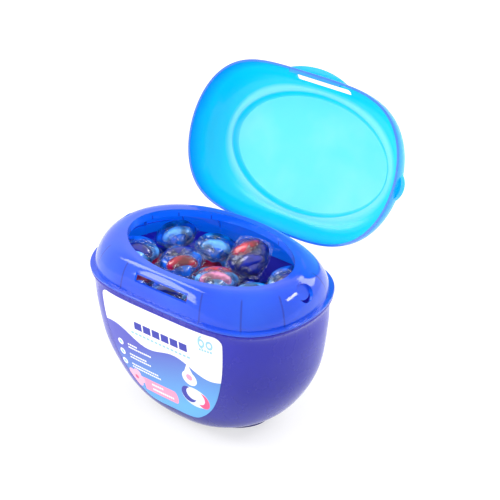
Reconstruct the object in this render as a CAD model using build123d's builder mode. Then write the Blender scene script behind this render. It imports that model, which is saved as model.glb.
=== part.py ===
from build123d import *
import math
import os

os.makedirs("parts", exist_ok=True)

# Laundry pod tub: an oval tub, a domed collar snapped into its mouth, a lid that hinges on the
# collar's back edge, two labels and the pods inside. Millimetres. X is the long side, -Y the
# labelled front, +Z up. The origin is the middle of the foot's underside.

# Outlines. Every level is |x / half_width| ** power + (y / half_depth) ** 2 = 1, so a power of 2
# is an ellipse and a higher power squares up the two ends.
SEAM_Z = 116.8
SEAM_HALF_WIDTH = 100.0
SEAM_HALF_DEPTH = 63.6
SEAM_POWER = 4.1
OUTLINE_POINTS = 32

# Tub
TUB_WALL = 1.8
TUB_FLOOR = 2.2
BEAD_HEIGHT = 2.0
BEAD_GAP = 0.4
TUB_TOP_Z = SEAM_Z - BEAD_HEIGHT - BEAD_GAP
TUB_BEAD_INSET = 0.5
TUB_MOUTH_INSET = 2.4
# (height, half width, half depth, power) of the outside
TUB_LEVELS = (
    (4.0, 50.5, 40.5, 2.6),
    (9.0, 59.0, 44.6, 2.9),
    (18.0, 70.8, 48.7, 3.3),
    (32.0, 81.4, 52.2, 3.7),
    (54.0, 91.0, 56.5, SEAM_POWER),
    (80.0, 94.8, 60.4, SEAM_POWER),
    (100.0, 95.8, 62.2, SEAM_POWER),
    (108.0, 96.5, 62.7, SEAM_POWER),
    (TUB_TOP_Z - BEAD_HEIGHT, 99.2, 63.1, SEAM_POWER),
)
BEAD_ROUND = 0.7
FOOT_HALF_WIDTH = 52.4
FOOT_HALF_DEPTH = 33.7
FOOT_WALL = 2.0

# Collar
DOME_INSET = 3.5
DOME_RISE = 22.9
RIM_Z = SEAM_Z + DOME_RISE
MOUTH_HALF_WIDTH = 73.1
MOUTH_HALF_DEPTH = 46.9
RIM_WIDTH = 5.0
COLLAR_WALL = 1.8
NECK_WALL = 1.6
NECK_HEIGHT = 6.5
END_BULGE = 2.03
FACE_BULGE = 1.39
SKIRT_HALF_WIDTH = 94.2
SKIRT_HALF_DEPTH = 60.2
SKIRT_WALL = 1.6
SKIRT_BOTTOM_Z = 108.5
RIB_THICKNESS = 1.2
RIB_DEPTH = 1.0
RIB_ANGLES = (20.0, 43.0, 65.0)
SLOT_HALF_WIDTH = 25.5
SLOT_BOTTOM_Z = 127.2
SLOT_TOP_Z = 134.3
CATCH_BOTTOM_Z = 131.5
POCKET_RADIUS = 7.6
POCKET_X = 91.2
POCKET_Z = 133.0
POCKET_TILT = 37.0
POCKET_DEPTH = 2.8
POCKET_CUP_DEPTH = 4.2
POCKET_CUP_TOP = 1.9
POCKET_CUP_RADIUS = 8.9
POCKET_CRESCENT = 3.0

# Hinge: a round bar on three lugs of the collar, gripped by two open clips of the lid
HINGE_Y = SEAM_HALF_DEPTH + 5.0
HINGE_Z = 118.7
OPEN_ANGLE = 116.5
BAR_RADIUS = 1.5
CLIP_BORE_RADIUS = 1.8
CLIP_RADIUS = 3.2
CLIP_MOUTH = 2.4
LUG_SPACING = 22.0
LUG_THICKNESS = 3.0
LUG_RADIUS = 3.0
CLIP_END_GAP = 0.5
STOP_REACH = 4.8

# Lid, drawn shut and then turned open
LID_Z = SEAM_Z + 0.4
LID_HALF_WIDTH = SEAM_HALF_WIDTH - 0.1
LID_HALF_DEPTH = SEAM_HALF_DEPTH - 0.1
LID_WALL = 1.6
LID_RISE = 28.8
LID_TOP_HALF_WIDTH = 79.5
LID_TOP_HALF_DEPTH = 51.1
LID_BULGE = 2.03
PANEL_INSET = 0.8
PANEL_LEAN = 4.4
PANEL_RISE = 4.6
PANEL_FILLET = 3.0
WINDOW_HALF_WIDTH = 27.0
WINDOW_NEAR_Y = -58.6
WINDOW_FAR_Y = -55.2
HOOK_HALF_WIDTH = 25.0
HOOK_BOTTOM_Z = 123.8
HOOK_HEIGHT = 1.6
HOOK_TIP_Y = -59.2
BUTTON_RADIUS = 14.5
BUTTON_TIP_X = 102.0
BUTTON_BOTTOM_Z = 123.4
BUTTON_HEIGHT = 6.0
THUMB_RADIUS = 72.0
THUMB_TIP_Y = -68.2
THUMB_BOTTOM_Z = 127.4
THUMB_HEIGHT = 2.4

# Labels
LABEL_GAP = 0.05
LABEL_THICKNESS = 0.25
LABEL_TOP_Z = 110.0
LABEL_BOTTOM_Z = 17.0
LABEL_CORNER = 7.0
BACK_LABEL_HALF_WIDTH = 40.0
BACK_LABEL_BOTTOM_Z = 40.0

# Pods: lower layers lie flat in a grid; the top ones are (x, y, z, turn about x, y, z)
POD_SIDE = 33.6
POD_HEIGHT = 18.6
POD_CORNER = 9.0
POD_EDGE = 6.5
POD_PITCH = 34.3
LAYER_PITCH = 18.85
FIRST_LAYER_Z = 17.9
# (columns, rows, (x, y) of the extra pods at one end in pitches) from the bottom up
POD_LAYERS = (
    (3, 2, ()),
    (3, 2, ()),
    (3, 3, ((2, 0),)),
    (3, 3, ((2, 0.5), (2, -0.5))),
    (3, 3, ((2, 0.5), (2, -0.5))),
)
TOP_PODS = (
    (-61.0, 30.0, 115.0, 6, -6, 12),
    (-23.9, 34.8, 114.1, -6, 6, -6),
    (13.0, 31.0, 120.0, 36, 4, 6),
    (52.5, 30.0, 114.0, 5, -7, 10),
    (-69.5, -6.0, 114.0, -5, 7, -8),
    (-29.0, -1.5, 116.0, 7, 8, 10),
    (9.0, -4.0, 114.6, -7, -5, -5),
    (47.0, -6.5, 114.4, 6, 5, 6),
    (-43.5, -37.5, 113.5, 4, 1, 2),
    (-9.0, -39.5, 113.6, 5, -3, -3),
    (26.0, -40.5, 114.0, 4, 3, 2),
)


def outline(height, half_width, half_depth, power):
    """One level of the tub family's oval, as a sketch at that height."""
    points = []
    for step in range(OUTLINE_POINTS):
        angle = 2 * math.pi * step / OUTLINE_POINTS
        across = math.cos(angle)
        along = math.sqrt(max(0.0, 1 - abs(across) ** power))
        points.append((half_width * across, math.copysign(half_depth * along, math.sin(angle))))
    with BuildSketch(Plane.XY.offset(height)) as level:
        with BuildLine():
            Spline(*points, periodic=True)
        make_face()
    return level.sketch


def levels(table, inset=0.0):
    """The sketches of a table of levels, each pulled in by inset."""
    return [outline(z, width - inset, depth - inset, power) for z, width, depth, power in table]


def inset_share(rise_share, bulge):
    """How much of a dome's inset is used up at a share of its rise."""
    return 1 - (1 - rise_share**bulge) ** (1 / bulge)


def dome_levels(foot, top, base_z, rise, face_bulge):
    """Levels from foot to top, each (half width, half depth), with rounded ends."""
    table = []
    for share in (0.0, 0.28, 0.52, 0.72, 0.87, 0.96, 1.0):
        ends = inset_share(share, END_BULGE)
        faces = inset_share(share, face_bulge)
        width = foot[0] + (top[0] - foot[0]) * ends
        depth = foot[1] + (top[1] - foot[1]) * faces
        power = SEAM_POWER + (2.0 - SEAM_POWER) * (ends + faces) / 2
        table.append((base_z + rise * share, width, depth, power))
    return table


def rounded_bead(bottom_z, half_width, half_depth):
    """A bead that follows the seam, with both outer edges rounded, as a part."""
    with BuildPart() as bead:
        extrude(outline(bottom_z, half_width, half_depth, SEAM_POWER), amount=BEAD_HEIGHT)
        fillet(bead.edges(), radius=BEAD_ROUND)
    return bead.part


def label_face(plane, half_width, waist_half_width, bottom_half_width, bottom_z, top_z):
    """A shield: square top, sides that close in towards a rounded bottom."""
    waist_z = (bottom_z + top_z) / 2
    with BuildSketch(plane) as shield:
        with BuildLine():
            Line((-half_width, top_z), (half_width, top_z))
            Spline(
                (half_width, top_z),
                (waist_half_width, waist_z),
                (bottom_half_width, bottom_z + 3),
                tangents=((0, -1), (-1, -0.7)),
            )
            Spline(
                (bottom_half_width, bottom_z + 3),
                (0, bottom_z),
                (-bottom_half_width, bottom_z + 3),
                tangents=((-1, -0.7), (-1, 0.7)),
            )
            Spline(
                (-bottom_half_width, bottom_z + 3),
                (-waist_half_width, waist_z),
                (-half_width, top_z),
                tangents=((-1, 0.7), (0, 1)),
            )
        make_face()
        top_corners = shield.vertices().group_by(Axis.Y)[-1]
        fillet(top_corners, radius=LABEL_CORNER)
    return shield.sketch


def save(name, part):
    """Label a finished part and write its file."""
    part.label = name
    export_step(part, f"parts/{name}.step")


# Tub: one moulding with a bead round its mouth and a flat foot that its floor steps down into

with BuildPart() as tub:
    loft(levels(TUB_LEVELS))
    add(
        rounded_bead(
            TUB_TOP_Z - BEAD_HEIGHT,
            SEAM_HALF_WIDTH - TUB_BEAD_INSET,
            SEAM_HALF_DEPTH - TUB_BEAD_INSET / 2,
        )
    )
    with BuildSketch() as foot:
        Ellipse(FOOT_HALF_WIDTH, FOOT_HALF_DEPTH)
    extrude(amount=TUB_LEVELS[0][0] + 0.5)
    floor_z, floor_width, floor_depth, floor_power = TUB_LEVELS[0]
    inside_floor = (floor_z + TUB_FLOOR, floor_width + 1.0, floor_depth - 0.4, floor_power)
    inside_walls = [
        (z, width - TUB_WALL, depth - TUB_WALL, power)
        for z, width, depth, power in TUB_LEVELS[1:]
    ]
    loft(levels([inside_floor] + inside_walls), mode=Mode.SUBTRACT)
    mouth_z, mouth_width, mouth_depth, mouth_power = inside_walls[-1]
    extrude(outline(mouth_z, mouth_width, mouth_depth, mouth_power), amount=10, mode=Mode.SUBTRACT)
    with BuildSketch(Plane.XY.offset(TUB_FLOOR)) as foot_well:
        Ellipse(FOOT_HALF_WIDTH - FOOT_WALL, FOOT_HALF_DEPTH - FOOT_WALL)
    extrude(amount=floor_z + 0.5, mode=Mode.SUBTRACT)

save("tub", tub.part)

# Collar: ledge, domed wall, mouth rim with its neck, radial ribs, latch slot and side pockets

DOME_FOOT = (SEAM_HALF_WIDTH - DOME_INSET, SEAM_HALF_DEPTH - DOME_INSET)
DOME_TOP = (MOUTH_HALF_WIDTH + RIM_WIDTH, MOUTH_HALF_DEPTH + RIM_WIDTH)
DOME = dome_levels(DOME_FOOT, DOME_TOP, SEAM_Z, DOME_RISE, FACE_BULGE)
INSIDE_FOOT = (DOME_FOOT[0] - COLLAR_WALL, DOME_FOOT[1] - COLLAR_WALL)
INSIDE_TOP = (DOME_TOP[0] - COLLAR_WALL, DOME_TOP[1] - COLLAR_WALL)
DOME_INSIDE = dome_levels(INSIDE_FOOT, INSIDE_TOP, SEAM_Z, DOME_RISE - COLLAR_WALL, FACE_BULGE)
SKIRT_INSIDE = (SKIRT_HALF_WIDTH - SKIRT_WALL, SKIRT_HALF_DEPTH - SKIRT_WALL)

# The ribs' inner edges follow the wall a little way in, then run up to the neck
RIB_CORE = (
    (SKIRT_BOTTOM_Z - 1, SKIRT_INSIDE[0] - RIB_DEPTH, SKIRT_INSIDE[1] - RIB_DEPTH, SEAM_POWER),
    (SEAM_Z, SKIRT_INSIDE[0] - RIB_DEPTH, SKIRT_INSIDE[1] - RIB_DEPTH, SEAM_POWER),
    (SEAM_Z + 0.5 * DOME_RISE, 84.5, 52.5, 3.4),
    (RIM_Z - NECK_HEIGHT, MOUTH_HALF_WIDTH + NECK_WALL, MOUTH_HALF_DEPTH + NECK_WALL, 2.0),
)

with BuildPart() as ribs:
    loft(levels(DOME, inset=COLLAR_WALL / 2))
    skirt_core = outline(SKIRT_BOTTOM_Z, SKIRT_HALF_WIDTH - 0.8, SKIRT_HALF_DEPTH - 0.8, SEAM_POWER)
    extrude(skirt_core, amount=SEAM_Z - SKIRT_BOTTOM_Z + 0.2)
    loft(levels(RIB_CORE), mode=Mode.SUBTRACT)
    with BuildSketch(Plane.XY.offset(RIM_Z - NECK_HEIGHT - 0.5)) as neck_space:
        Ellipse(MOUTH_HALF_WIDTH + NECK_WALL / 2, MOUTH_HALF_DEPTH + NECK_WALL / 2)
    extrude(amount=NECK_HEIGHT + 2, mode=Mode.SUBTRACT)
    with BuildSketch(Plane.XY.offset(SKIRT_BOTTOM_Z)) as plates:
        for quarter in (0, 1):
            for side in (1, -1):
                for angle in RIB_ANGLES:
                    turn = math.radians(angle if quarter == 0 else 180 - angle) * side
                    across = math.cos(turn) / DOME_FOOT[0]
                    along = math.sin(turn) / DOME_FOOT[1]
                    lean = math.degrees(math.atan2(along, across))
                    with Locations((84 * math.cos(turn), 53 * math.sin(turn))):
                        Rectangle(40, RIB_THICKNESS, rotation=lean)
    extrude(amount=RIM_Z - SKIRT_BOTTOM_Z - 0.6, mode=Mode.INTERSECT)

with BuildPart() as collar:
    loft(levels(DOME))
    add(rounded_bead(SEAM_Z - BEAD_HEIGHT, SEAM_HALF_WIDTH, SEAM_HALF_DEPTH))
    skirt = outline(SKIRT_BOTTOM_Z, SKIRT_HALF_WIDTH, SKIRT_HALF_DEPTH, SEAM_POWER)
    extrude(skirt, amount=SEAM_Z - SKIRT_BOTTOM_Z - 0.5)
    loft(levels(DOME_INSIDE), mode=Mode.SUBTRACT)
    skirt_inside = outline(SKIRT_BOTTOM_Z - 1, *SKIRT_INSIDE, SEAM_POWER)
    extrude(skirt_inside, amount=SEAM_Z - SKIRT_BOTTOM_Z + 1.5, mode=Mode.SUBTRACT)
    with BuildSketch(Plane.XY.offset(RIM_Z - NECK_HEIGHT)) as neck_outside:
        Ellipse(MOUTH_HALF_WIDTH + NECK_WALL, MOUTH_HALF_DEPTH + NECK_WALL)
    extrude(amount=NECK_HEIGHT - 0.5)
    add(ribs.part)
    with BuildSketch(Plane.XY.offset(RIM_Z - NECK_HEIGHT - 1)) as mouth:
        Ellipse(MOUTH_HALF_WIDTH, MOUTH_HALF_DEPTH)
    extrude(amount=NECK_HEIGHT + 3, mode=Mode.SUBTRACT)
    # Latch slot: an open window below, and a catch plate set back behind its upper half
    slot_middle = (SLOT_BOTTOM_Z + SLOT_TOP_Z) / 2
    with BuildSketch(Plane.XZ.offset(50.4)) as slot:
        with Locations((0, slot_middle)):
            Rectangle(2 * SLOT_HALF_WIDTH, SLOT_TOP_Z - SLOT_BOTTOM_Z)
    extrude(amount=14, mode=Mode.SUBTRACT)
    with BuildSketch(Plane.XZ.offset(52.6)) as catch:
        with Locations((0, (CATCH_BOTTOM_Z + SLOT_TOP_Z + 0.8) / 2)):
            Rectangle(2 * SLOT_HALF_WIDTH + 2, SLOT_TOP_Z + 0.8 - CATCH_BOTTOM_Z)
    extrude(amount=1.6)
    # Side pockets: shallow round cups square to the dome, each with a crescent open below
    tilt = math.radians(POCKET_TILT)
    for side in (1, -1):
        pocket_plane = Plane(
            origin=(side * POCKET_X, 0, POCKET_Z),
            x_dir=(0, 1, 0),
            z_dir=(side * math.cos(tilt), 0, math.sin(tilt)),
        )
        with BuildSketch(pocket_plane.offset(-POCKET_CUP_DEPTH)):
            Circle(POCKET_CUP_RADIUS)
        extrude(amount=POCKET_CUP_DEPTH - POCKET_CUP_TOP)
        with BuildSketch(pocket_plane.offset(-POCKET_DEPTH)):
            Circle(POCKET_RADIUS)
        extrude(amount=12, mode=Mode.SUBTRACT)
        with BuildSketch(pocket_plane.offset(-POCKET_CUP_DEPTH - 1)):
            Circle(POCKET_RADIUS)
            with Locations((0, side * POCKET_CRESCENT)):
                Circle(POCKET_RADIUS, mode=Mode.SUBTRACT)
        extrude(amount=3, mode=Mode.SUBTRACT)
    # Hinge lugs and bar; the middle lug's heel stops the lid when it is open
    lug_plane = Plane(origin=(0, HINGE_Y, HINGE_Z), x_dir=(0, 1, 0), z_dir=(1, 0, 0))
    root_low = SEAM_Z - BEAD_HEIGHT - HINGE_Z
    root_high = SEAM_Z - HINGE_Z
    for lug_x in (-LUG_SPACING, 0, LUG_SPACING):
        with BuildSketch(lug_plane.offset(lug_x - LUG_THICKNESS / 2)):
            Circle(LUG_RADIUS)
            with BuildLine():
                Polyline(
                    (-7.0, root_low),
                    (-0.5, root_low + 0.6),
                    (2.1, -2.1),
                    (-2.1, 2.1),
                    (-4.2, root_high),
                    (-7.0, root_high),
                    close=True,
                )
            make_face()
        extrude(amount=LUG_THICKNESS)
    open_turn = math.radians(OPEN_ANGLE)
    wall_out = (-math.cos(open_turn), math.sin(open_turn))
    wall_run = (wall_out[1], -wall_out[0])
    stop_start = [STOP_REACH * wall_out[i] + 1.2 * wall_run[i] for i in (0, 1)]
    stop_end = [STOP_REACH * wall_out[i] + 5.5 * wall_run[i] for i in (0, 1)]
    with BuildSketch(lug_plane.offset(-LUG_THICKNESS / 2)):
        with BuildLine():
            Polyline((0, 2.8), stop_start, stop_end, (4.5, -2.5), (0, -2.8), close=True)
        make_face()
    extrude(amount=LUG_THICKNESS)
    with BuildSketch(lug_plane.offset(-LUG_SPACING - LUG_THICKNESS / 2)):
        Circle(BAR_RADIUS)
    extrude(amount=2 * LUG_SPACING + LUG_THICKNESS)

save("collar", collar.part)

# Lid: a domed shell with a raised oval panel, a latch window, side buttons and hinge clips

LID_FOOT = (LID_HALF_WIDTH, LID_HALF_DEPTH)
LID_TOP = (LID_TOP_HALF_WIDTH, LID_TOP_HALF_DEPTH)
LID_DOME = dome_levels(LID_FOOT, LID_TOP, LID_Z, LID_RISE, LID_BULGE)
LID_INSIDE = dome_levels(
    (LID_FOOT[0] - LID_WALL, LID_FOOT[1] - LID_WALL),
    (LID_TOP[0] - LID_WALL, LID_TOP[1] - LID_WALL),
    LID_Z,
    LID_RISE - LID_WALL,
    LID_BULGE,
)
PANEL = (LID_TOP_HALF_WIDTH - PANEL_INSET, LID_TOP_HALF_DEPTH - PANEL_INSET)
LID_TOP_Z = LID_Z + LID_RISE
PANEL_LEVELS = (
    (LID_TOP_Z - 0.6, PANEL[0], PANEL[1], 2.0),
    (LID_TOP_Z + PANEL_RISE, PANEL[0] - PANEL_LEAN, PANEL[1] - PANEL_LEAN, 2.0),
)
PANEL_INSIDE = (
    (LID_TOP_Z - LID_WALL - 0.6, PANEL[0] - LID_WALL, PANEL[1] - LID_WALL, 2.0),
    (
        LID_TOP_Z + PANEL_RISE - LID_WALL,
        PANEL[0] - PANEL_LEAN - LID_WALL,
        PANEL[1] - PANEL_LEAN - LID_WALL,
        2.0,
    ),
)

with BuildPart() as lid:
    loft(levels(LID_DOME))
    loft(levels(PANEL_LEVELS))
    fillet(lid.faces().sort_by(Axis.Z)[-1].edges(), radius=PANEL_FILLET)
    for side in (1, -1):
        with BuildSketch(Plane.XY.offset(BUTTON_BOTTOM_Z)):
            with Locations((side * (BUTTON_TIP_X - BUTTON_RADIUS), 0)):
                Circle(BUTTON_RADIUS)
        extrude(amount=BUTTON_HEIGHT)
    with BuildSketch(Plane.XY.offset(THUMB_BOTTOM_Z)):
        with Locations((0, THUMB_TIP_Y + THUMB_RADIUS)):
            Circle(THUMB_RADIUS)
        with Locations((0, THUMB_TIP_Y + 6)):
            Rectangle(80, 12, mode=Mode.INTERSECT)
    extrude(amount=THUMB_HEIGHT)
    loft(levels(LID_INSIDE), mode=Mode.SUBTRACT)
    loft(levels(PANEL_INSIDE), mode=Mode.SUBTRACT)
    with BuildSketch(Plane.XY.offset(LID_Z + 12)) as window:
        with Locations((0, (WINDOW_NEAR_Y + WINDOW_FAR_Y) / 2)):
            Rectangle(2 * WINDOW_HALF_WIDTH, WINDOW_FAR_Y - WINDOW_NEAR_Y)
            fillet(window.vertices(), radius=1.2)
    extrude(amount=LID_RISE, mode=Mode.SUBTRACT)
    with BuildSketch(Plane.XZ.offset(-HOOK_TIP_Y)):
        with Locations((0, HOOK_BOTTOM_Z + HOOK_HEIGHT / 2)):
            Rectangle(2 * HOOK_HALF_WIDTH, HOOK_HEIGHT)
    extrude(amount=3.0)
    clip_inner_x = LUG_THICKNESS / 2 + CLIP_END_GAP
    clip_outer_x = LUG_SPACING - LUG_THICKNESS / 2 - CLIP_END_GAP
    clip_length = clip_outer_x - clip_inner_x
    web_low = LID_Z + 0.4 - HINGE_Z
    web_high = web_low + 2.8
    for clip_start in (clip_inner_x, -clip_outer_x):
        clip_plane = lug_plane.offset(clip_start)
        with BuildSketch(clip_plane):
            Circle(CLIP_RADIUS)
            with Locations(((-5.9 - 1.9) / 2, (web_low + web_high) / 2)):
                Rectangle(5.9 - 1.9, web_high - web_low)
            Circle(CLIP_BORE_RADIUS, mode=Mode.SUBTRACT)
            with Locations((CLIP_RADIUS, 0)):
                Rectangle(2 * CLIP_RADIUS - 1, CLIP_MOUTH, mode=Mode.SUBTRACT)
        extrude(amount=clip_length)

hinge_axis = Axis((0, HINGE_Y, HINGE_Z), (1, 0, 0))
open_lid = lid.part.rotate(hinge_axis, -OPEN_ANGLE)
save("lid", open_lid)

# Labels: thin skins that follow the tub's front and back

with BuildPart() as front_label:
    loft(levels(TUB_LEVELS, inset=-(LABEL_GAP + LABEL_THICKNESS)))
    loft(levels(TUB_LEVELS, inset=-LABEL_GAP), mode=Mode.SUBTRACT)
    shield = label_face(Plane.XZ.offset(20), 59.5, 54.0, 27.0, LABEL_BOTTOM_Z, LABEL_TOP_Z)
    extrude(shield, amount=60, mode=Mode.INTERSECT)

save("front_label", front_label.part)

with BuildPart() as back_label:
    loft(levels(TUB_LEVELS, inset=-(LABEL_GAP + LABEL_THICKNESS)))
    loft(levels(TUB_LEVELS, inset=-LABEL_GAP), mode=Mode.SUBTRACT)
    with BuildSketch(Plane.XZ.offset(-20)) as back_sheet:
        with Locations((0, (BACK_LABEL_BOTTOM_Z + LABEL_TOP_Z) / 2)):
            Rectangle(2 * BACK_LABEL_HALF_WIDTH, LABEL_TOP_Z - BACK_LABEL_BOTTOM_Z)
            fillet(back_sheet.vertices(), radius=LABEL_CORNER)
    extrude(amount=-60, mode=Mode.INTERSECT)

save("back_label", back_label.part)

# Pods: soft film pillows, each its own solid

with BuildPart() as pod:
    with BuildSketch():
        RectangleRounded(POD_SIDE, POD_SIDE, POD_CORNER)
    extrude(amount=POD_HEIGHT / 2, both=True)
    pillow_faces = pod.faces().filter_by(Axis.Z)
    fillet(pillow_faces.edges(), radius=POD_EDGE)

for layer, (columns, rows, end_pods) in enumerate(POD_LAYERS):
    layer_z = FIRST_LAYER_Z + layer * LAYER_PITCH
    places = []
    for column in range(columns):
        for row in range(rows):
            grid_x = (column - (columns - 1) / 2) * POD_PITCH
            grid_y = (row - (rows - 1) / 2) * POD_PITCH
            places.append((grid_x, grid_y, layer_z))
    for end_x, end_y in end_pods:
        for side in (1, -1):
            places.append((side * end_x * POD_PITCH, end_y * POD_PITCH, layer_z))
    with BuildPart() as pod_layer:
        with Locations(*places):
            add(pod.part)
    save(f"pod_layer_{layer + 1}", pod_layer.part)

for number, (x, y, z, turn_x, turn_y, turn_z) in enumerate(TOP_PODS, start=1):
    with BuildPart() as top_pod:
        with Locations(Location((x, y, z), (turn_x, turn_y, turn_z))):
            add(pod.part)
    save(f"top_pod_{number:02d}", top_pod.part)
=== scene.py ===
"""A laundry pod tub: translucent oval tub, domed collar, open hinged lid, labels and pods.

Everything is in metres in the row frame: +Z up, -Y the labelled front, +X along the long side.
"""

import logging
import math
from dataclasses import dataclass
from enum import Enum

import bpy
from mathutils import Euler, Matrix, Vector


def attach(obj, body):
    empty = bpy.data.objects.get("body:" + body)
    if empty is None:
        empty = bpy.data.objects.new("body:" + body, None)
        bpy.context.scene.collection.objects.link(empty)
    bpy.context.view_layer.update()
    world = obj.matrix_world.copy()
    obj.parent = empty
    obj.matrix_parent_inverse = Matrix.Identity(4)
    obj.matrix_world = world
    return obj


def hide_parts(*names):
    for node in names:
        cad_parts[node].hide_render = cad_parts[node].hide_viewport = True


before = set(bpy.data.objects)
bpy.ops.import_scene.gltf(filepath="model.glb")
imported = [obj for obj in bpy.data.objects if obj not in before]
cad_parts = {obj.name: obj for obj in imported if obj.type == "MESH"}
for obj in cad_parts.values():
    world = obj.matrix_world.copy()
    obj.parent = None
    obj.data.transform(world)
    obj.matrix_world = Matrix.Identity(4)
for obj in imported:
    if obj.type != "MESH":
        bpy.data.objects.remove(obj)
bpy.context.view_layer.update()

LOG = logging.getLogger("pod_tub")
MM = 0.001
Colour = tuple[float, float, float, float]
Socket = bpy.types.NodeSocket
Value = Socket | float | Colour


def srgb(red: int, green: int, blue: int) -> tuple[float, float, float, float]:
    """Turns a display colour into a scene-linear one.

    Args:
        red: Red from 0 to 255.
        green: Green from 0 to 255.
        blue: Blue from 0 to 255.

    Returns:
        Linear red, green, blue and an alpha of 1.
    """
    linear = []
    for value in (red, green, blue):
        share = value / 255
        linear.append(share / 12.92 if share <= 0.04045 else ((share + 0.055) / 1.055) ** 2.4)
    return (linear[0], linear[1], linear[2], 1.0)


class Sheet:
    """A material's node tree with short ways to add nodes."""

    def __init__(self, name: str) -> None:
        """Makes an empty material.

        Args:
            name: Name of the new material.
        """
        self.material = bpy.data.materials.new(name)
        self.material.use_nodes = True
        self.tree = self.material.node_tree
        self.tree.nodes.clear()
        self.output = self.tree.nodes.new("ShaderNodeOutputMaterial")
        coordinates = self.tree.nodes.new("ShaderNodeTexCoord")
        self.place = coordinates.outputs["Object"]
        self.uv = coordinates.outputs["UV"]
        self._axes = None

    def feed(self, socket: Socket, value: Value) -> None:
        """Links an output, or sets a constant, on an input socket.

        Args:
            socket: The input socket.
            value: An output socket or a constant.
        """
        if isinstance(value, bpy.types.NodeSocket):
            self.tree.links.new(value, socket)
        else:
            socket.default_value = value

    def node(self, kind: str, inputs: dict | None = None, **settings) -> bpy.types.Node:
        """Adds a node.

        Args:
            kind: The node's type name.
            inputs: Values or output sockets by input name or number.
            settings: Attributes of the node.

        Returns:
            The new node.
        """
        made = self.tree.nodes.new(kind)
        for key, value in settings.items():
            setattr(made, key, value)
        for key, value in (inputs or {}).items():
            self.feed(made.inputs[key], value)
        return made

    def math(self, operation: str, first: Value, second: Value = 0.0, clamp: bool = False) -> Socket:
        """Adds a math node.

        Args:
            operation: Blender's name of the operation.
            first: First value or output socket.
            second: Second value or output socket.
            clamp: Whether the result is kept between 0 and 1.

        Returns:
            The node's output socket.
        """
        made = self.node("ShaderNodeMath", {0: first, 1: second}, operation=operation, use_clamp=clamp)
        return made.outputs[0]

    def ramp(self, value: Value, low: float, high: float) -> Socket:
        """Maps low to 0 and high to 1, kept between the two.

        Args:
            value: Output socket to map.
            low: Value that gives 0.
            high: Value that gives 1.

        Returns:
            The mapped output socket.
        """
        made = self.node("ShaderNodeMapRange", {"Value": value, "From Min": low, "From Max": high})
        made.clamp = True
        return made.outputs["Result"]

    def blend(self, share: Value, first: Value, second: Value) -> Socket:
        """Mixes two colours.

        Args:
            share: 0 gives first and 1 gives second.
            first: Colour or output socket.
            second: Colour or output socket.

        Returns:
            The mixed colour's output socket.
        """
        made = self.node("ShaderNodeMix", data_type="RGBA")
        self.feed(made.inputs[0], share)
        self.feed(made.inputs[6], first)
        self.feed(made.inputs[7], second)
        return made.outputs[2]

    def axis(self, name: str) -> Socket:
        """One coordinate of the row frame.

        Args:
            name: X, Y or Z.

        Returns:
            The coordinate's output socket, in metres.
        """
        if self._axes is None:
            self._axes = self.node("ShaderNodeSeparateXYZ", {0: self.place})
        return self._axes.outputs[name]

    def noise(self, scale: float, detail: float = 2.0, place: Socket | None = None) -> Socket:
        """A smooth noise in the row frame.

        Args:
            scale: Cells per metre.
            detail: Octaves.
            place: Other coordinates to use.

        Returns:
            The noise factor's output socket.
        """
        made = self.node(
            "ShaderNodeTexNoise",
            {"Vector": self.place if place is None else place, "Scale": scale, "Detail": detail},
        )
        return made.outputs["Fac"]

    def bump(self, height: Socket, strength: float, distance: float) -> Socket:
        """A bumped normal.

        Args:
            height: Output socket with the height.
            strength: Share of the effect.
            distance: Height of a full step, in metres.

        Returns:
            The normal's output socket.
        """
        made = self.node("ShaderNodeBump", {"Height": height, "Strength": strength, "Distance": distance})
        return made.outputs["Normal"]

    def mix_shaders(self, share: Value, first: Socket, second: Socket) -> Socket:
        """Mixes two shaders.

        Args:
            share: 0 gives first and 1 gives second.
            first: Shader output socket.
            second: Shader output socket.

        Returns:
            The mixed shader's output socket.
        """
        return self.node("ShaderNodeMixShader", {0: share, 1: first, 2: second}).outputs[0]

    def finish(self, shader: Socket) -> bpy.types.Material:
        """Joins a shader to the output.

        Args:
            shader: Shader output socket.

        Returns:
            The finished material.
        """
        self.tree.links.new(shader, self.output.inputs["Surface"])
        return self.material


@dataclass(frozen=True)
class Tint:
    """Colours and gloss of one translucent moulding."""

    glow: tuple[float, float, float, float]
    face: tuple[float, float, float, float]
    # Colour at grazing angles; where it is paler than face, it is a painted sheen.
    edge: tuple[float, float, float, float]
    see_through: float
    roughness: float
    gloss: float
    translucency: float = 0.5
    # Strength of the painted glow on walls that face the inside of the tub.
    lit: float = 0.0


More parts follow.
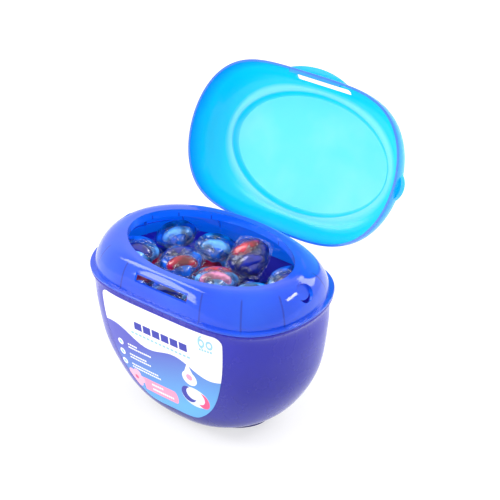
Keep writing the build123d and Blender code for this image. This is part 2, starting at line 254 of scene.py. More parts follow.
class Plastics:
    """Makes the three translucent mouldings' materials."""

    RIB_ANGLES = (20.0, 43.0, 65.0)
    DOME_FOOT = (96.5, 60.1)

    def __init__(self) -> None:
        """Sets the colours of the mouldings."""
        self.tub = Tint(srgb(58, 64, 232), srgb(58, 58, 200), srgb(128, 134, 244), 0.0, 0.24, 0.8, 0.42, 0.12)
        self.collar = Tint(
            srgb(0, 130, 255), srgb(26, 108, 255), srgb(156, 176, 255), 0.10, 0.04, 1.3, 0.42, 0.34
        )
        self.lid = Tint(srgb(0, 232, 255), srgb(0, 222, 255), srgb(40, 176, 255), 0.06, 0.2, 0.7, 0.6)

    def _moulding(self, sheet: Sheet, tint: Tint, glow: Value, face: Value) -> bpy.types.Material:
        """Builds the layered shader: body, painted inner glow, see-through share and gloss.

        Args:
            sheet: The material's sheet.
            tint: Its colours and gloss.
            glow: Colour of the light that comes through.
            face: Colour of the lit surface.

        Returns:
            The material.
        """
        # Grazing colour: paler on the tub and collar, a painted sheen standing in for reflection at grazing
        # angles; deeper on the lid.
        facing = sheet.node("ShaderNodeLayerWeight", {"Blend": 0.32}).outputs["Facing"]
        rim = sheet.math("POWER", facing, 2.2)
        surface = sheet.blend(rim, face, tint.edge)
        grain = sheet.bump(sheet.noise(900.0, 3.0), 0.12, 0.00012)
        diffuse = sheet.node("ShaderNodeBsdfDiffuse", {"Color": surface, "Normal": grain}).outputs[0]
        through = sheet.node("ShaderNodeBsdfTranslucent", {"Color": glow, "Normal": grain}).outputs[0]
        body = sheet.mix_shaders(tint.translucency, diffuse, through)
        # Painted glow: walls that face the inside emit their glow colour, standing in for light that comes in
        # through the far walls.
        inside = self._inside(sheet)
        strength = sheet.math("MULTIPLY", inside, tint.lit)
        lit = sheet.node("ShaderNodeEmission", {"Color": glow, "Strength": strength})
        body = sheet.node("ShaderNodeAddShader", {0: body, 1: lit.outputs[0]}).outputs[0]
        paler = sheet.blend(0.55, glow, (1, 1, 1, 1))
        clear = sheet.node("ShaderNodeBsdfTransparent", {"Color": paler}).outputs[0]
        body = sheet.mix_shaders(tint.see_through, body, clear)
        fresnel = sheet.node("ShaderNodeFresnel", {"IOR": 1.47}).outputs[0]
        share = sheet.math("MULTIPLY", fresnel, tint.gloss, clamp=True)
        patchy = sheet.ramp(sheet.noise(60.0, 4.0), 0.3, 0.7)
        rough = sheet.math("MULTIPLY_ADD", patchy, 0.05)
        rough.node.inputs[2].default_value = tint.roughness
        gloss = sheet.node(
            "ShaderNodeBsdfGlossy", {"Color": (1, 1, 1, 1), "Roughness": rough, "Normal": grain}
        )
        return sheet.finish(sheet.mix_shaders(share, body, gloss.outputs[0]))

    def _inside(self, sheet: Sheet) -> Socket:
        """Where a wall faces the inside of the tub.

        Args:
            sheet: The material's sheet.

        Returns:
            The mask's output socket.
        """
        normal = sheet.node("ShaderNodeNewGeometry").outputs["Normal"]
        level = sheet.node("ShaderNodeVectorMath", {0: sheet.place, 1: (1, 1, 0)}, operation="MULTIPLY")
        dot = sheet.node(
            "ShaderNodeVectorMath", {0: normal, 1: level.outputs["Vector"]}, operation="DOT_PRODUCT"
        )
        return sheet.ramp(dot.outputs["Value"], 0.0, -0.02)

    def tub_plastic(self) -> bpy.types.Material:
        """The tub: violet-blue, with painted shade darkening it towards the foot and towards +X low down, and
        paler at its shoulders.

        Returns:
            The material.
        """
        sheet = Sheet("tub_plastic")
        height = sheet.axis("Z")
        # Painted shade: the colour darkens to navy towards the foot, where shade falls.
        low = sheet.ramp(height, 0.0045, 0.026)
        glow = sheet.blend(low, srgb(14, 8, 90), self.tub.glow)
        face = sheet.blend(low, srgb(12, 6, 74), self.tub.face)
        # Painted shade: darker towards +X and low down, on the side turned from the light.
        shade_slope = sheet.math("SUBTRACT", sheet.axis("X"), sheet.math("MULTIPLY", height, 0.9))
        shaded = sheet.math("MULTIPLY", sheet.ramp(shade_slope, -0.03, 0.06), 0.5)
        face = sheet.blend(shaded, face, srgb(30, 26, 140))
        glow = sheet.blend(shaded, glow, srgb(24, 20, 160))
        clouds = sheet.ramp(sheet.noise(14.0, 3.0), 0.35, 0.7)
        face = sheet.blend(sheet.math("MULTIPLY", clouds, 0.35), face, srgb(44, 40, 160))
        return self._moulding(sheet, self.tub, glow, face)

    def collar_plastic(self) -> bpy.types.Material:
        """The collar: clear strong blue.

        Returns:
            The material.
        """
        sheet = Sheet("collar_plastic")
        clouds = sheet.ramp(sheet.noise(18.0, 3.0), 0.35, 0.7)
        face = sheet.blend(clouds, self.collar.face, srgb(0, 78, 242))
        ribs = self._rib_lines(sheet)
        face = sheet.blend(ribs, face, srgb(24, 28, 150))
        glow = sheet.blend(ribs, self.collar.glow, srgb(20, 30, 160))
        return self._moulding(sheet, self.collar, glow, face)

    def _rib_lines(self, sheet: Sheet) -> Socket:
        """Where the ribs behind the collar's wall show through it.

        Args:
            sheet: The collar material's sheet.

        Returns:
            The mask's output socket.
        """
        folded = sheet.node("ShaderNodeVectorMath", {0: sheet.place}, operation="ABSOLUTE").outputs["Vector"]
        lines = 0.0
        for angle in self.RIB_ANGLES:
            turn = math.radians(angle)
            lean = math.atan2(math.sin(turn) / self.DOME_FOOT[1], math.cos(turn) / self.DOME_FOOT[0])
            across = Vector((-math.sin(lean), math.cos(lean), 0.0))
            middle = Vector((84 * math.cos(turn), 53 * math.sin(turn), 0.0)) * MM
            dot = sheet.node("ShaderNodeVectorMath", {0: folded, 1: across}, operation="DOT_PRODUCT")
            away = sheet.math("SUBTRACT", dot.outputs["Value"], middle.dot(across))
            near = sheet.ramp(sheet.math("ABSOLUTE", away), 0.0010, 0.0003)
            lines = sheet.math("MAXIMUM", lines, near)
        above = sheet.ramp(sheet.axis("Z"), 0.1165, 0.1175)
        below = sheet.ramp(sheet.axis("Z"), 0.1375, 0.1360)
        between = sheet.math("MULTIPLY", above, below)
        return sheet.math("MULTIPLY", sheet.math("MULTIPLY", lines, 0.5), between)

    def lid_plastic(self, hinge: Vector, turned: float) -> bpy.types.Material:
        """The lid: light blue, deeper towards the rim, with a violet line on the rim itself and painted
        highlight lines along the panel step.

        Args:
            hinge: A point on the hinge axis.
            turned: How far the lid stands open, in radians.

        Returns:
            The material.
        """
        sheet = Sheet("lid_plastic")
        away = Vector((0, math.sin(turned), math.cos(turned)))
        dot = sheet.node("ShaderNodeVectorMath", {0: sheet.place, 1: away}, operation="DOT_PRODUCT")
        depth = sheet.math("SUBTRACT", dot.outputs["Value"], hinge.dot(away))
        wall = sheet.ramp(depth, -0.001, 0.012)
        panel = sheet.ramp(depth, 0.0265, 0.0300)
        rim = sheet.ramp(depth, -0.0006, -0.0013)
        clouds = sheet.ramp(sheet.noise(22.0, 3.0), 0.4, 0.75)
        pale = sheet.blend(sheet.math("MULTIPLY", clouds, 0.8), srgb(30, 222, 255), srgb(150, 236, 255))
        face = sheet.blend(wall, srgb(0, 178, 255), self.lid.face)
        face = sheet.blend(panel, face, pale)
        face = sheet.blend(rim, face, srgb(70, 96, 255))
        # Painted highlights: two thin pale lines on the panel step's shoulder and fillet, where the rounded
        # edges would catch the light.
        for line, half, share in ((0.0259, 0.0005, 0.8), (0.0298, 0.0004, 0.5)):
            away = sheet.math("ABSOLUTE", sheet.math("SUBTRACT", depth, line))
            near = sheet.math("MULTIPLY", sheet.ramp(away, 2 * half, 0.5 * half), share)
            face = sheet.blend(near, face, srgb(150, 246, 255))
        glow = sheet.blend(wall, srgb(0, 190, 255), self.lid.glow)
        glow = sheet.blend(panel, glow, srgb(80, 236, 255))
        return self._moulding(sheet, self.lid, glow, face)


class Print:
    """Flat fields of colour laid over one another on a label, in label millimetres."""

    def __init__(self, sheet: Sheet, ground: Value) -> None:
        """Starts with the ground colour.

        Args:
            sheet: The label material's sheet.
            ground: Colour or output socket of the ground.
        """
        self.sheet = sheet
        self.across = sheet.math("DIVIDE", sheet.axis("X"), MM)
        self.up = sheet.math("DIVIDE", sheet.axis("Z"), MM)
        self.colour = ground

    def _both(self, first: Socket, second: Socket) -> Socket:
        """The mask of what is in both masks."""
        return self.sheet.math("MULTIPLY", first, second)

    def box(self, left: float, right: float, low: float, high: float) -> Socket:
        """A rectangle's mask.

        Args:
            left: Left edge.
            right: Right edge.
            low: Lower edge.
            high: Upper edge.

        Returns:
            The mask's output socket.
        """
        wide = self.sheet.math("COMPARE", self.across, (left + right) / 2)
        wide.node.inputs[2].default_value = (right - left) / 2
        tall = self.sheet.math("COMPARE", self.up, (low + high) / 2)
        tall.node.inputs[2].default_value = (high - low) / 2
        return self._both(wide, tall)

    def beads(self, left: float, right: float, low: float, high: float, count: int, gap: float) -> Socket:
        """A row of equal blocks, as a mask.

        Args:
            left: Left end of the row.
            right: Right end of the row.
            low: Lower edge.
            high: Upper edge.
            count: Number of blocks.
            gap: Share of each step that is left open.

        Returns:
            The mask's output socket.
        """
        step = self.sheet.math("SUBTRACT", self.across, left)
        step = self.sheet.math("FRACT", self.sheet.math("DIVIDE", step, (right - left) / count))
        return self._both(self.box(left, right, low, high), self.sheet.math("GREATER_THAN", step, gap))

    def round(self, across: float, up: float, half_width: float, half_height: float) -> Socket:
        """An ellipse's mask.

        Args:
            across: Centre from left to right.
            up: Centre's height.
            half_width: Half its width.
            half_height: Half its height.

        Returns:
            The mask's output socket.
        """
        rise = self.sheet.math("SUBTRACT", self.up, up)
        side = self.sheet.math("SUBTRACT", self.across, across)
        side = self.sheet.math("POWER", self.sheet.math("DIVIDE", side, half_width), 2.0)
        rise = self.sheet.math("POWER", self.sheet.math("DIVIDE", rise, half_height), 2.0)
        return self.sheet.math("LESS_THAN", self.sheet.math("ADD", side, rise), 1.0)

    def without(self, mask: Socket, hole: Socket) -> Socket:
        """A mask with another cut out of it.

        Args:
            mask: The mask.
            hole: What is cut out.

        Returns:
            The mask's output socket.
        """
        return self._both(mask, self.sheet.math("SUBTRACT", 1.0, hole))

    def drop(self, across: float, low: float, high: float, half_width: float) -> Socket:
        """A drop's mask: round below and pointed above.

        Args:
            across: Centre from left to right.
            low: Lowest point.
            high: Tip.
            half_width: Half its width.

        Returns:
            The mask's output socket.
        """
        ball = self.round(across, low + half_width, half_width, half_width)
        side = self.sheet.math("ABSOLUTE", self.sheet.math("SUBTRACT", self.across, across))
        room = self.sheet.math("SUBTRACT", high, self.up)
        room = self.sheet.math("MULTIPLY", room, 0.92 * half_width / (high - low - half_width))
        cone = self._both(
            self.sheet.math("LESS_THAN", side, room),
            self.sheet.math("GREATER_THAN", self.up, low + 1.25 * half_width),
        )
        return self.sheet.math("MAXIMUM", ball, cone)

    def lay(self, mask: Socket, colour: Value) -> None:
        """Prints a field.

        Args:
            mask: Where it goes.
            colour: Its colour.
        """
        self.colour = self.sheet.blend(mask, self.colour, colour)

    def film(self, sheet_name: str) -> bpy.types.Material:
        """Finishes the label as a satin film.

        Args:
            sheet_name: The material's name, for the log.

        Returns:
            The material.
        """
        grain = self.sheet.bump(self.sheet.noise(700.0, 3.0), 0.15, 0.00006)
        principled = self.sheet.node(
            "ShaderNodeBsdfPrincipled",
            {"Base Color": self.colour, "Roughness": 0.42, "Normal": grain},
        )
        principled.inputs["Specular IOR Level"].default_value = 0.25
        LOG.info("%s printed", sheet_name)
        return self.sheet.finish(principled.outputs[0])


class Labels:
    """The two printed labels."""

    WHITE = srgb(246, 246, 250)
    VIOLET = srgb(66, 70, 170)
    SKY = srgb(150, 200, 250)
    PINK = srgb(255, 158, 192)
    ROSE = srgb(252, 92, 140)
    SLATE = srgb(70, 72, 96)

    # The upper field's lower edge is a plain sine that falls to the right, in millimetres
    WAVE_MIDDLE = 75.0
    WAVE_FALL = 0.1
    WAVE_SWELL = 4.0
    WAVE_LENGTH = 60.0

    def front(self) -> bpy.types.Material:
        """The front print: white above a wave, violet to sky blue below, with plain pictures.

        Returns:
            The material.
        """
        sheet = Sheet("front_print")
        art = Print(sheet, self.WHITE)
        slope = sheet.math("SUBTRACT", sheet.math("MULTIPLY", art.across, 0.35), art.up)
        field = sheet.blend(sheet.ramp(slope, -80.0, -22.0), srgb(96, 98, 192), srgb(104, 178, 236))
        turns = sheet.math("MULTIPLY", art.across, math.tau / self.WAVE_LENGTH)
        swell = sheet.math("MULTIPLY", sheet.math("SINE", turns), self.WAVE_SWELL)
        fall = sheet.math("MULTIPLY", art.across, self.WAVE_FALL)
        wave = sheet.math("ADD", sheet.math("SUBTRACT", swell, fall), self.WAVE_MIDDLE)
        art.lay(sheet.math("LESS_THAN", art.up, wave), field)
        self._upper(art)
        self._lower(art)
        return art.film("front_print")

    def _upper(self, art: Print) -> None:
        """Prints the fields on the white half.

        Args:
            art: The print in hand.
        """
        art.lay(art.beads(-26.0, 28.0, 87.0, 94.0, 6, 0.15), self.VIOLET)
        art.lay(art.beads(-30.0, 30.0, 81.5, 83.5, 15, 0.25), self.SKY)
        for across in (42.0, 49.0):
            ring = art.without(art.round(across, 101.0, 3.0, 4.0), art.round(across, 101.0, 1.5, 2.0))
            art.lay(ring, self.SKY)
        stroke = art.without(art.round(43.0, 102.0, 4.0, 6.0), art.round(44.0, 102.0, 3.5, 5.0))
        art.lay(art.without(stroke, art.box(43.0, 50.0, 90.0, 110.0)), self.SKY)
        art.lay(art.beads(39.0, 51.0, 94.0, 96.0, 5, 0.25), self.SKY)

    def _lower(self, art: Print) -> None:
        """Prints the fields on the coloured half.

        Args:
            art: The print in hand.
        """
        for row, (first, second) in enumerate(((10.0, 24.0), (18.0, 22.0), (28.0, 30.0))):
            up = 66.0 - 10.0 * row
            art.lay(art.round(-44.0, up, 3.0, 3.0), self.WHITE)
            art.lay(art.round(-44.0, up, 1.5, 1.5), self.SKY)
            for length, height in ((first, up + 1.5), (second, up - 1.5)):
                line = art.beads(-36.0, -36.0 + length, height - 0.8, height + 0.8, int(length / 2), 0.2)
                art.lay(line, self.WHITE)
        art.lay(art.box(-26.0, 6.0, 25.0, 38.0), self.PINK)
        art.lay(art.round(6.0, 31.5, 3.0, 6.5), self.PINK)
        art.lay(art.beads(-18.0, -6.0, 33.0, 35.0, 6, 0.2), self.WHITE)
        art.lay(art.beads(-18.0, 4.0, 28.0, 30.0, 11, 0.2), self.WHITE)
        for petal in range(5):
            turn = math.tau * petal / 5
            across = -34.0 + 5.0 * math.cos(turn)
            up = 34.0 + 5.0 * math.sin(turn)
            art.lay(art.round(across, up, 4.0, 4.0), srgb(255, 186, 210))
        art.lay(art.round(-34.0, 34.0, 2.0, 2.0), self.ROSE)
        art.lay(art.drop(26.0, 54.0, 76.0, 7.0), self.WHITE)
        art.lay(art.round(26.0, 62.0, 3.0, 3.0), self.PINK)
        art.lay(art.round(28.0, 42.0, 13.0, 10.0), srgb(232, 236, 250))
        art.lay(art.without(art.round(22.0, 43.0, 7.0, 8.0), art.round(26.0, 45.0, 6.0, 6.0)), self.VIOLET)
        art.lay(art.without(art.round(35.0, 41.0, 6.0, 8.0), art.round(31.0, 43.0, 6.0, 7.0)), self.ROSE)

    def back(self) -> bpy.types.Material:
        """The back print: white with thin plain bars.

        Returns:
            The material.
        """
        sheet = Sheet("back_print")
        art = Print(sheet, self.WHITE)
        art.lay(art.box(-36.0, 36.0, 97.0, 106.0), self.VIOLET)
        for number in range(9):
            up = 91.0 - 5.2 * number
            art.lay(art.beads(-34.0, 34.0 - (number * 13) % 17, up - 0.8, up + 0.8, 20, 0.18), self.SLATE)
        return art.film("back_print")


class Gel(Enum):
    """What a pod chamber holds."""

    NAVY = (10, 26, 150)
    BLUE = (10, 110, 240)
    TEAL = (0, 128, 214)
    CRIMSON = (190, 0, 52)
    PINK = (255, 150, 196)
    PALE = (96, 176, 255)


@dataclass(frozen=True)
class PodSize:
    """Sizes of one pod, in metres."""

    film: float = 35.0 * MM
    gel: float = 28.6 * MM
    height: float = 17.4 * MM
    lobe: float = 12.8 * MM
    wrap: float = 16.4 * MM


@dataclass(frozen=True)
class PodLook:
    """The colours of a pod's base, first lobe and second lobe."""

    base: Gel
    first: Gel
    second: Gel


class PodFinishes:
    """Makes and keeps the pods' materials."""

    def __init__(self) -> None:
        """Starts with no material."""
        self.made: dict[str, bpy.types.Material] = {}

    def film(self) -> bpy.types.Material:
        """The clear wrinkled film of the flange.

        Returns:
            The material.
        """
        if "film" not in self.made:
            sheet = Sheet("pod_film")
            folds = sheet.node(
                "ShaderNodeTexVoronoi", {"Vector": sheet.place, "Scale": 420.0}, feature="SMOOTH_F1"
            )
            creases = sheet.math("ADD", folds.outputs["Distance"], sheet.noise(520.0, 4.0))
            normal = sheet.bump(creases, 1.0, 0.0016)
            tone = sheet.blend(sheet.noise(120.0, 3.0), srgb(120, 176, 240), srgb(240, 246, 255))
            clear = sheet.node("ShaderNodeBsdfTransparent", {"Color": (0.90, 0.95, 1.0, 1.0)}).outputs[0]
            milk = sheet.node("ShaderNodeBsdfTranslucent", {"Color": tone}).outputs[0]
            gloss = sheet.node(
                "ShaderNodeBsdfGlossy", {"Color": (1, 1, 1, 1), "Roughness": 0.09, "Normal": normal}
            )
            body = sheet.mix_shaders(0.07, clear, milk)
            fresnel = sheet.node("ShaderNodeFresnel", {"IOR": 1.6, "Normal": normal}).outputs[0]
            share = sheet.math("MULTIPLY_ADD", fresnel, 1.1, clamp=True)
            share.node.inputs[2].default_value = 0.02
            self.made["film"] = sheet.finish(sheet.mix_shaders(share, body, gloss.outputs[0]))
        return self.made["film"]

    def gel(self, gel: Gel) -> bpy.types.Material:
        """A chamber full of gel under taut, finely wrinkled film.

        Args:
            gel: What it holds.

        Returns:
            The material.
        """
        if gel.name not in self.made:
            sheet = Sheet(f"gel_{gel.name.lower()}")
            tone = srgb(*gel.value)
            deep = tuple(0.22 * part for part in tone[:3]) + (1.0,)
            swirl = sheet.ramp(sheet.noise(95.0, 3.0), 0.38, 0.62)
            colour = sheet.blend(swirl, tone, deep)
            folds = sheet.node(
                "ShaderNodeTexVoronoi", {"Vector": sheet.place, "Scale": 230.0}, feature="SMOOTH_F1"
            )
            creases = sheet.math("ADD", folds.outputs["Distance"], sheet.noise(420.0, 2.0))
            normal = sheet.bump(creases, 0.55, 0.0006)
            principled = sheet.node(
                "ShaderNodeBsdfPrincipled",
                {"Base Color": colour, "Roughness": 0.3, "Normal": normal, "Coat Normal": normal},
            )
            self._painted_glow(sheet, principled, colour)
            principled.inputs["Coat Weight"].default_value = 1.0
            principled.inputs["Coat Roughness"].default_value = 0.04
            principled.inputs["Coat IOR"].default_value = 1.6
            principled.inputs["IOR"].default_value = 1.4
            self.made[gel.name] = sheet.finish(principled.outputs[0])
        return self.made[gel.name]

    def _painted_glow(self, sheet: Sheet, principled: bpy.types.Node, colour: Value) -> None:
        """Gives a gel a painted glow, emission in its own colour, standing in for the light that reaches it
        through the translucent tub.

        Args:
            sheet: The gel material's sheet.
            principled: Its main shader.
            colour: The gel's colour.
        """
        # Painted glow: the gel emits its own colour.
        sheet.feed(principled.inputs["Emission Color"], colour)
        principled.inputs["Emission Strength"].default_value = 0.22


def deselect() -> None:
    """Leaves nothing selected."""
    bpy.ops.object.select_all(action="DESELECT")


def apply_modifiers(obj: bpy.types.Object) -> None:
    """Applies all of an object's modifiers.

    Args:
        obj: The object.
    """
    deselect()
    bpy.context.view_layer.objects.active = obj
    obj.select_set(True)
    for modifier in list(obj.modifiers):
        bpy.ops.object.modifier_apply(modifier=modifier.name)


def join(parts: list[bpy.types.Object], name: str) -> bpy.types.Object:
    """Joins objects into one with its origin at the row frame's.

    Args:
        parts: The objects.
        name: Name of the result.

    Returns:
        The joined object.
    """
    deselect()
    for part in parts:
        part.select_set(True)
    bpy.context.view_layer.objects.active = parts[0]
    if len(parts) > 1:
        bpy.ops.object.join()
    joined = bpy.context.view_layer.objects.active
    joined.name = name
    joined.data.name = name
    bpy.ops.object.transform_apply(location=True, rotation=True, scale=True)
    return joined


class PodMaker:
    """Shapes pods: a pillow of base gel, two curved lobes on top and a wrinkled film flange."""

    def __init__(self, size: PodSize, finishes: PodFinishes) -> None:
        """Keeps the sizes and finishes.

        Args:
            size: Sizes of one pod.
            finishes: The pods' materials.
        """
        self.size = size
        self.finishes = finishes
        self.masters: dict[PodLook, bpy.types.Object] = {}

    def _flange(self) -> bpy.types.Object:
        """The square film flange with rounded corners and wrinkles.

        Returns:
            The flange.
        """
        deselect()
        bpy.ops.mesh.primitive_grid_add(x_subdivisions=30, y_subdivisions=30, size=self.size.film)
        flange = bpy.context.object
        cast = flange.modifiers.new("corners", "CAST")
        cast.cast_type = "CYLINDER"
        cast.factor = 0.42
        cast.size = self.size.film / 2
        cast.use_radius_as_size = False
        wrinkle = bpy.data.textures.new("wrinkle", "CLOUDS")
        wrinkle.noise_scale = 0.0042
        wrinkle.noise_depth = 2
        fold = flange.modifiers.new("folds", "DISPLACE")
        fold.texture = wrinkle
        fold.direction = "Z"
        fold.texture_coords = "LOCAL"
        fold.strength = 0.0034
        apply_modifiers(flange)
        flange.data.materials.append(self.finishes.film())
        deselect()
        flange.select_set(True)
        bpy.ops.object.shade_smooth_by_angle(angle=math.radians(75))
        return flange

    def _wrap(self) -> bpy.types.Object:
        """The loose clear film over the chambers, creased all over.

        Returns:
            The wrap.
        """
        deselect()
        bpy.ops.mesh.primitive_uv_sphere_add(segments=40, ring_count=24, radius=self.size.wrap)
        wrap = bpy.context.object
        bpy.ops.object.mode_set(mode="EDIT")
        bpy.ops.mesh.select_all(action="SELECT")
        bpy.ops.transform.resize(value=(1.0, 1.0, 0.56))
        bpy.ops.object.mode_set(mode="OBJECT")
        crease = bpy.data.textures.new("crease", "VORONOI")
        crease.noise_scale = 0.006
        crease.distance_metric = "DISTANCE"
        fold = wrap.modifiers.new("creases", "DISPLACE")
        fold.texture = crease
        fold.texture_coords = "LOCAL"
        fold.mid_level = 0.6
        fold.strength = 0.0034
        apply_modifiers(wrap)
        wrap.data.materials.append(self.finishes.film())
        deselect()
        wrap.select_set(True)
        bpy.ops.object.shade_smooth_by_angle(angle=math.radians(50))
        return wrap

    def _pillow(self, gel: Gel) -> bpy.types.Object:
        """The base chamber: a soft square pillow.

        Args:
            gel: What it holds.

        Returns:
            The pillow.
        """
        deselect()
        bpy.ops.mesh.primitive_cube_add(size=1.0)
        pillow = bpy.context.object
        bpy.ops.object.mode_set(mode="EDIT")
        bpy.ops.mesh.select_all(action="SELECT")
        bpy.ops.transform.resize(value=(self.size.gel, self.size.gel, 0.78 * self.size.height))
        bpy.ops.mesh.bevel(offset=0.22 * self.size.gel, segments=2, affect="EDGES")
        bpy.ops.object.mode_set(mode="OBJECT")
        soft = pillow.modifiers.new("soft", "SUBSURF")
        soft.levels = 2
        soft.render_levels = 2
        apply_modifiers(pillow)
        pillow.data.materials.append(self.finishes.gel(gel))
        deselect()
        pillow.select_set(True)
        bpy.ops.object.shade_smooth()
        return pillow

    def _lobe(self, gel: Gel, turn: float, up: int) -> bpy.types.Object:
        """One curved lobe: an egg bent round the pod's middle.

        Args:
            gel: What it holds.
            turn: Angle of the lobe round the middle, in radians.
            up: 1 for the top and -1 for the underside.

        Returns:
            The lobe.
        """
        deselect()
        bpy.ops.mesh.primitive_uv_sphere_add(segments=28, ring_count=16, radius=self.size.lobe)
        lobe = bpy.context.object
        bpy.ops.object.mode_set(mode="EDIT")
        bpy.ops.mesh.select_all(action="SELECT")
        bpy.ops.transform.resize(value=(0.98, 0.52, 0.50))
        bpy.ops.object.mode_set(mode="OBJECT")
        bend = lobe.modifiers.new("bend", "SIMPLE_DEFORM")
        bend.deform_method = "BEND"
        bend.deform_axis = "Z"
        bend.angle = math.radians(62)
        apply_modifiers(lobe)
        lobe.location = (0, 0.40 * self.size.lobe, up * 0.16 * self.size.height)
        bpy.ops.object.transform_apply(location=True, rotation=False, scale=False)
        lobe.rotation_euler = (0, 0, turn)
        bpy.ops.object.transform_apply(location=False, rotation=True, scale=False)
        lobe.data.materials.append(self.finishes.gel(gel))
        deselect()
        lobe.select_set(True)
        bpy.ops.object.shade_smooth()
        return lobe

    def master(self, look: PodLook) -> bpy.types.Object:
        """The pattern pod of a look, made once.

        Args:
            look: Its colours.

        Returns:
            The pattern, hidden from renders by being deleted at the end.
        """
        if look not in self.masters:
            parts = [self._pillow(look.base), self._flange(), self._wrap()]
            for up in (1, -1):
                parts.append(self._lobe(look.first, math.radians(40), up))
                parts.append(self._lobe(look.second, math.radians(220), up))
            self.masters[look] = join(parts, f"pod_pattern_{len(self.masters)}")
        return self.masters[look]

    def place(self, look: PodLook, middle: Vector, turn: Euler | Matrix) -> bpy.types.Object:
        """A copy of a pattern in its place.

        Args:
            look: Its colours.
            middle: Its centre in the row frame.
            turn: Its rotation matrix.

        Returns:
            The new pod.
        """
        pattern = self.master(look)
        pod = pattern.copy()
        pod.data = pattern.data.copy()
        bpy.context.scene.collection.objects.link(pod)
        pod.matrix_world = Matrix.Translation(middle) @ turn.to_4x4()
        return pod

    def clear_patterns(self) -> None:
        """Deletes the pattern pods."""
        deselect()
        for pattern in self.masters.values():
            pattern.select_set(True)
        bpy.ops.object.delete()


@dataclass(frozen=True)
class TopPod:
    """A pod at the top of the heap: its centre in millimetres, its turns in degrees and its look."""

    x: float
    y: float
    z: float
    turn_x: float
    turn_y: float
    turn_z: float
    look: PodLook


@dataclass(frozen=True)
class Layer:
    """A flat layer of pods: grid columns and rows, and extra pods at both ends, in pitches."""

    columns: int
    rows: int
    ends: tuple[tuple[float, float], ...]


class Heap:
    """All sixty pods."""

    PITCH = 34.3 * MM
    LAYER_PITCH = 18.85 * MM
    FIRST = 17.9 * MM
    LAYERS = (
        Layer(3, 2, ()),
        Layer(3, 2, ()),
        Layer(3, 3, ((2, 0),)),
        Layer(3, 3, ((2, 0.5), (2, -0.5))),
        Layer(3, 3, ((2, 0.5), (2, -0.5))),
    )
    DARK = PodLook(Gel.BLUE, Gel.NAVY, Gel.CRIMSON)
    CLEAR = PodLook(Gel.PALE, Gel.BLUE, Gel.NAVY)
    TEAL = PodLook(Gel.BLUE, Gel.TEAL, Gel.PALE)
    ROSE = PodLook(Gel.PALE, Gel.CRIMSON, Gel.PINK)
    RED = PodLook(Gel.NAVY, Gel.CRIMSON, Gel.NAVY)
    TOP = (
        TopPod(-61.0, 30.0, 115.0, 6, -6, 12, TEAL),
        TopPod(-23.9, 34.8, 114.1, -6, 6, -6, TEAL),
        TopPod(13.0, 31.0, 120.0, 36, 4, 6, RED),
        TopPod(52.5, 30.0, 114.0, 5, -7, 10, CLEAR),
        TopPod(-69.5, -6.0, 114.0, -5, 7, -8, CLEAR),
        TopPod(-29.0, -1.5, 116.0, 7, 8, 10, DARK),
        TopPod(9.0, -4.0, 114.6, -7, -5, -5, ROSE),
        TopPod(47.0, -6.5, 114.4, 6, 5, 6, TEAL),
        TopPod(-43.5, -37.5, 113.5, 4, 1, 2, DARK),
        TopPod(-9.0, -39.5, 113.6, 5, -3, -3, CLEAR),
        TopPod(26.0, -40.5, 114.0, 4, 3, 2, ROSE),
    )

    def __init__(self, packed: PodMaker, loose: PodMaker) -> None:
        """Keeps the pod makers.

        Args:
            packed: Shapes the pods in the layers, pressed close together.
            loose: Shapes the pods on top.
        """
        self.packed = packed
        self.loose = loose

    def _spots(self, number: int, layer: Layer) -> list[Vector]:
        """Centres of a layer's pods.

        Args:
            number: The layer's number from 0.
            layer: Its arrangement.

        Returns:
            The centres.
        """
        height = self.FIRST + number * self.LAYER_PITCH
        spots = []
        for column in range(layer.columns):
            for row in range(layer.rows):
                across = (column - (layer.columns - 1) / 2) * self.PITCH
                along = (row - (layer.rows - 1) / 2) * self.PITCH
                spots.append(Vector((across, along, height)))
        for across, along in layer.ends:
            for side in (1, -1):
                spots.append(Vector((side * across * self.PITCH, along * self.PITCH, height)))
        return spots

    def build(self) -> None:
        """Places every pod, one object for each CAD node."""
        looks = (self.DARK, self.CLEAR, self.TEAL, self.ROSE, self.RED)
        for number, layer in enumerate(self.LAYERS):
            pods = []
            for count, spot in enumerate(self._spots(number, layer)):
                look = looks[(count * 2 + number) % len(looks)]
                turn = Matrix.Rotation(math.radians(90 * ((count + number) % 4) + 3), 3, "Z")
                pods.append(self.packed.place(look, spot, turn))
            self._finish(join(pods, f"pods_{number + 1}"), f"pod_layer_{number + 1}")
        for number, pod in enumerate(self.TOP, start=1):
            turn = (
                Matrix.Rotation(math.radians(pod.turn_x), 3, "X")
                @ Matrix.Rotation(math.radians(pod.turn_y), 3, "Y")
                @ Matrix.Rotation(math.radians(pod.turn_z), 3, "Z")
            )
            placed = self.loose.place(pod.look, Vector((pod.x, pod.y, pod.z)) * MM, turn)
            self._finish(join([placed], f"loose_pod_{number:02d}"), f"top_pod_{number:02d}")
        self.packed.clear_patterns()
        self.loose.clear_patterns()

    def _finish(self, obj: bpy.types.Object, node: str) -> None:
        """Ties a finished object to its CAD node.

        Args:
            obj: The pods.
            node: The CAD node they stand for.
        """
        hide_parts(node)
        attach(obj, "tub")
        LOG.info("%s stands for %s, %d faces", obj.name, node, len(obj.data.polygons))


class Mouldings:
    """Dresses the CAD mouldings and labels."""

    HINGE = Vector((0.0, 68.6, 118.7)) * MM
    OPEN = math.radians(116.5)

    def dress(self) -> None:
        """Gives each CAD node that stays its material."""
        plastics = Plastics()
        labels = Labels()
        looks = {
            "tub": plastics.tub_plastic(),
            "collar": plastics.collar_plastic(),
            "lid": plastics.lid_plastic(self.HINGE, self.OPEN),
            "front_label": labels.front(),
            "back_label": labels.back(),
        }
        for name, material in looks.items():
            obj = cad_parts[name]
            obj.data.materials.clear()
            obj.data.materials.append(material)
            LOG.info("%s dressed in %s", name, material.name)


@dataclass(frozen=True)
class Lamp:
    """A soft light: where it is, what it faces, its size in metres and its power in watts."""

    name: str
    place: tuple[float, float, float]
    target: tuple[float, float, float]
    width: float
    height: float
    power: float


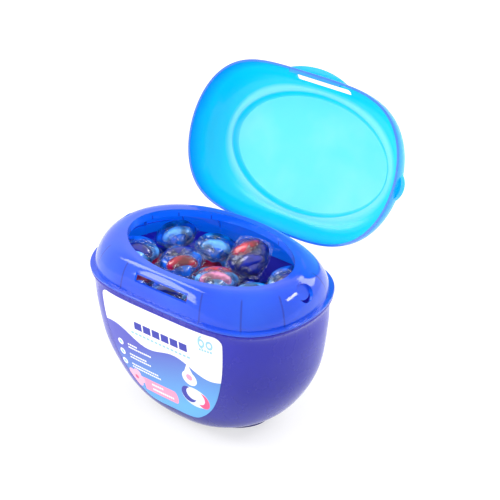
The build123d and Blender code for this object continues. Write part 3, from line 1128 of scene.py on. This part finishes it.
class Studio:
    """Camera, lights and floor."""

    LAMPS = (
        Lamp("key", (-1.2, -0.8, 1.5), (0.0, 0.0, 0.12), 1.1, 1.1, 22.0),
        Lamp("side", (1.3, 0.9, 1.5), (0.0, 0.0, 0.14), 0.9, 0.3, 12.0),
        Lamp("front", (-1.0, -1.5, 0.55), (0.0, 0.1, 0.18), 0.6, 0.6, 7.0),
        Lamp("back", (0.2, 1.6, 1.1), (0.0, 0.08, 0.18), 1.4, 1.0, 20.0),
    )
    AIM = Vector((4.2, 42.8, 118.0)) * MM
    AZIMUTH = math.radians(39.45)
    ELEVATION = math.radians(30.5)
    ROLL = math.radians(-0.95)
    DISTANCE = 1280.0 * MM
    LENS = 118.0

    def camera(self) -> None:
        """Places the camera."""
        data = bpy.data.cameras.new("camera")
        camera = bpy.data.objects.new("camera", data)
        bpy.context.scene.collection.objects.link(camera)
        flat = math.cos(self.ELEVATION)
        aside = math.sin(self.AZIMUTH) * flat
        ahead = -math.cos(self.AZIMUTH) * flat
        back = Vector((aside, ahead, math.sin(self.ELEVATION)))
        level = Vector((-back.y, back.x, 0)).normalized()
        top = back.cross(level)
        right = level * math.cos(self.ROLL) + top * math.sin(self.ROLL)
        up = top * math.cos(self.ROLL) - level * math.sin(self.ROLL)
        turn = Matrix((right, up, back)).transposed().to_4x4()
        camera.matrix_world = Matrix.Translation(self.AIM + back * self.DISTANCE) @ turn
        data.lens = self.LENS
        data.sensor_width = 36.0
        data.clip_end = 50.0
        bpy.context.scene.camera = camera

    def lights(self) -> None:
        """Adds the white surroundings and the soft lights."""
        world = bpy.data.worlds.new("studio")
        bpy.context.scene.world = world
        world.use_nodes = True
        background = world.node_tree.nodes["Background"]
        background.inputs["Color"].default_value = (1, 1, 1, 1)
        background.inputs["Strength"].default_value = 1.0
        for lamp in self.LAMPS:
            data = bpy.data.lights.new(lamp.name, "AREA")
            data.shape = "RECTANGLE"
            data.size = lamp.width
            data.size_y = lamp.height
            data.energy = lamp.power
            light = bpy.data.objects.new(lamp.name, data)
            bpy.context.scene.collection.objects.link(light)
            light.location = lamp.place
            facing = Vector(lamp.place) - Vector(lamp.target)
            light.rotation_euler = facing.to_track_quat("Z", "Y").to_euler()
            LOG.info("light %s, %.0f W", lamp.name, lamp.power)

    def floor(self) -> None:
        """Adds a plain pale floor."""
        deselect()
        bpy.ops.mesh.primitive_plane_add(size=12.0)
        floor = bpy.context.object
        floor.name = "floor"
        sheet = Sheet("floor")
        tone = sheet.blend(sheet.noise(3.0, 2.0), (0.34, 0.34, 0.345, 1.0), (0.36, 0.36, 0.365, 1.0))
        matt = sheet.node("ShaderNodeBsdfDiffuse", {"Color": tone}).outputs[0]
        light = sheet.node("ShaderNodeEmission", {"Color": (1, 1, 1, 1), "Strength": 0.64}).outputs[0]
        both = sheet.node("ShaderNodeAddShader", {0: matt, 1: light}).outputs[0]
        floor.data.materials.append(sheet.finish(both))


def main() -> None:
    """Builds the scene."""
    logging.basicConfig(level=logging.INFO, format="%(name)s %(message)s")
    bpy.context.scene.view_settings.view_transform = "Standard"
    Mouldings().dress()
    finishes = PodFinishes()
    packed = PodSize(film=33.0 * MM, gel=28.0 * MM, wrap=15.6 * MM)
    Heap(PodMaker(packed, finishes), PodMaker(PodSize(), finishes)).build()
    studio = Studio()
    studio.camera()
    studio.lights()
    studio.floor()


if __name__ == "__main__":
    main()
